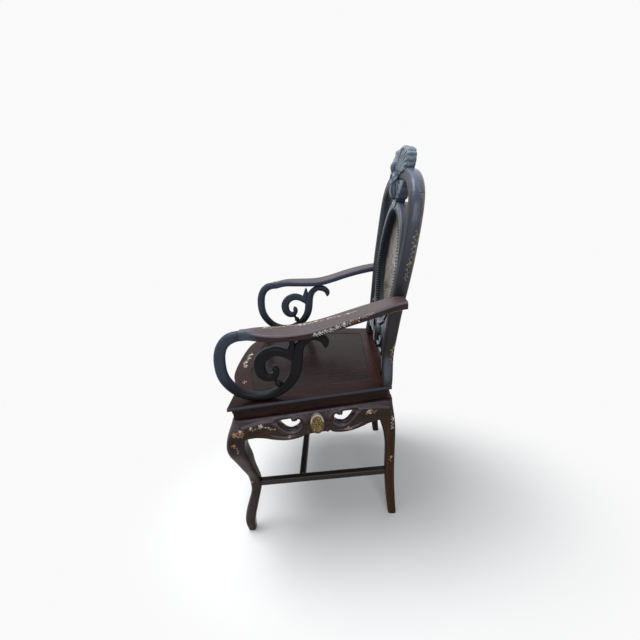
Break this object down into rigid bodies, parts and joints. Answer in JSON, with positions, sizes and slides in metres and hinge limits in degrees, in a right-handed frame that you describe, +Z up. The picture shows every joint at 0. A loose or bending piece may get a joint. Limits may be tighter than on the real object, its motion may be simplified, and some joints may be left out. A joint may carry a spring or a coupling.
{
  "type": "horseshoe back armchair",
  "caption": "Dark hardwood armchair with a horseshoe back, an oval stone panel, a carved crest, scrolled arms, a bowed seat and cabriole front legs.",
  "frame": {"origin": "on the floor, on the chair's middle line and under the middle of its overall depth", "axes": "+X towards the sitter's left, -Y towards the front, +Z up"},
  "size_m": [0.616, 0.5796, 1.0821],
  "materials": {
    "rosewood": "worn satin polish",
    "carved_wood": "dark satin polish",
    "marble": "honed, mottled",
    "gilt": "dull, darkened in the hollows",
    "mother_of_pearl": "pearly polish"
  },
  "bodies": {
    "root": {"apron_front": "rosewood", "apron_left": "rosewood", "apron_rear": "rosewood", "apron_right": "rosewood", "arm_dowel_left": "rosewood", "arm_dowel_right": "rosewood", "arm_loop_left": "carved_wood", "arm_loop_right": "carved_wood", "arm_scroll_left": "carved_wood", "arm_scroll_right": "carved_wood", "armrest_left": "rosewood", "armrest_right": "rosewood", "back_arch": "rosewood", "back_post_left": "rosewood", "back_post_right": "rosewood", "bead_border": "carved_wood", "crest_carving": "carved_wood", "crest_pendant": "carved_wood", "cross_stretcher": "rosewood", "front_leg_left": "rosewood", "front_leg_right": "rosewood", "lower_carving": "carved_wood", "medallion_front": "gilt", "medallion_left": "gilt", "medallion_right": "gilt", "medallion_rim_front": "mother_of_pearl", "medallion_rim_left": "mother_of_pearl", "medallion_rim_right": "mother_of_pearl", "oval_frame": "carved_wood", "oval_spacer_left": "rosewood", "oval_spacer_right": "rosewood", "rear_leg_left": "rosewood", "rear_leg_right": "rosewood", "seat_batten_left": "rosewood", "seat_batten_right": "rosewood", "seat_front_rail": "rosewood", "seat_left_rail": "rosewood", "seat_panel": "rosewood", "seat_rear_rail": "rosewood", "seat_right_rail": "rosewood", "side_stretcher_left": "rosewood", "side_stretcher_right": "rosewood", "stone_back_board": "rosewood", "stone_panel": "marble", "waist_front": "rosewood", "waist_left": "rosewood", "waist_rear": "rosewood", "waist_right": "rosewood"}
  },
  "joints": []
}
